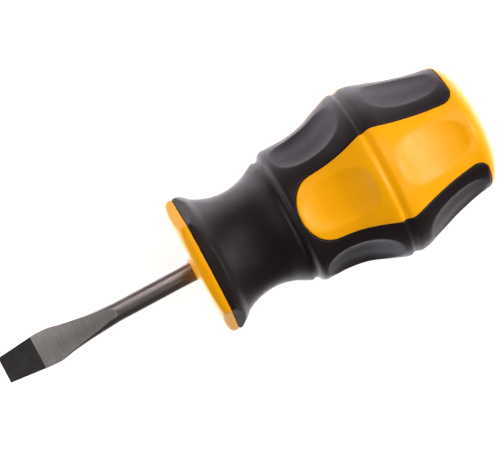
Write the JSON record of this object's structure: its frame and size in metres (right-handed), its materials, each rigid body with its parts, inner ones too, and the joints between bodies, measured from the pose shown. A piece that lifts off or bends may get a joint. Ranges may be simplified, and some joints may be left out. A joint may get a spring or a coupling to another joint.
{
  "type": "stubby slotted screwdriver",
  "caption": "Short flat-blade screwdriver with a stout moulded handle: plastic core and body, rubber grip with finger dimples, and a faceted anti-roll collar.",
  "frame": {"origin": "centre of the tip's end face, on the tool's axis", "axes": "+X along the tool out of the tip, +Z out through the middle of one yellow panel, +Y to complete a right-handed frame"},
  "size_m": [0.0976, 0.0332, 0.0331],
  "materials": {
    "blade_steel": "satin ground steel, with the last 7 mm of the tip blackened",
    "core_plastic": "uncoloured moulded plastic, unseen in use",
    "yellow_plastic": "semi-gloss moulded plastic",
    "black_rubber": "matte moulded thermoplastic rubber"
  },
  "bodies": {
    "root": {"blade": "blade_steel", "inner_core": "core_plastic", "handle_body": "yellow_plastic", "grip": "black_rubber"}
  },
  "joints": []
}
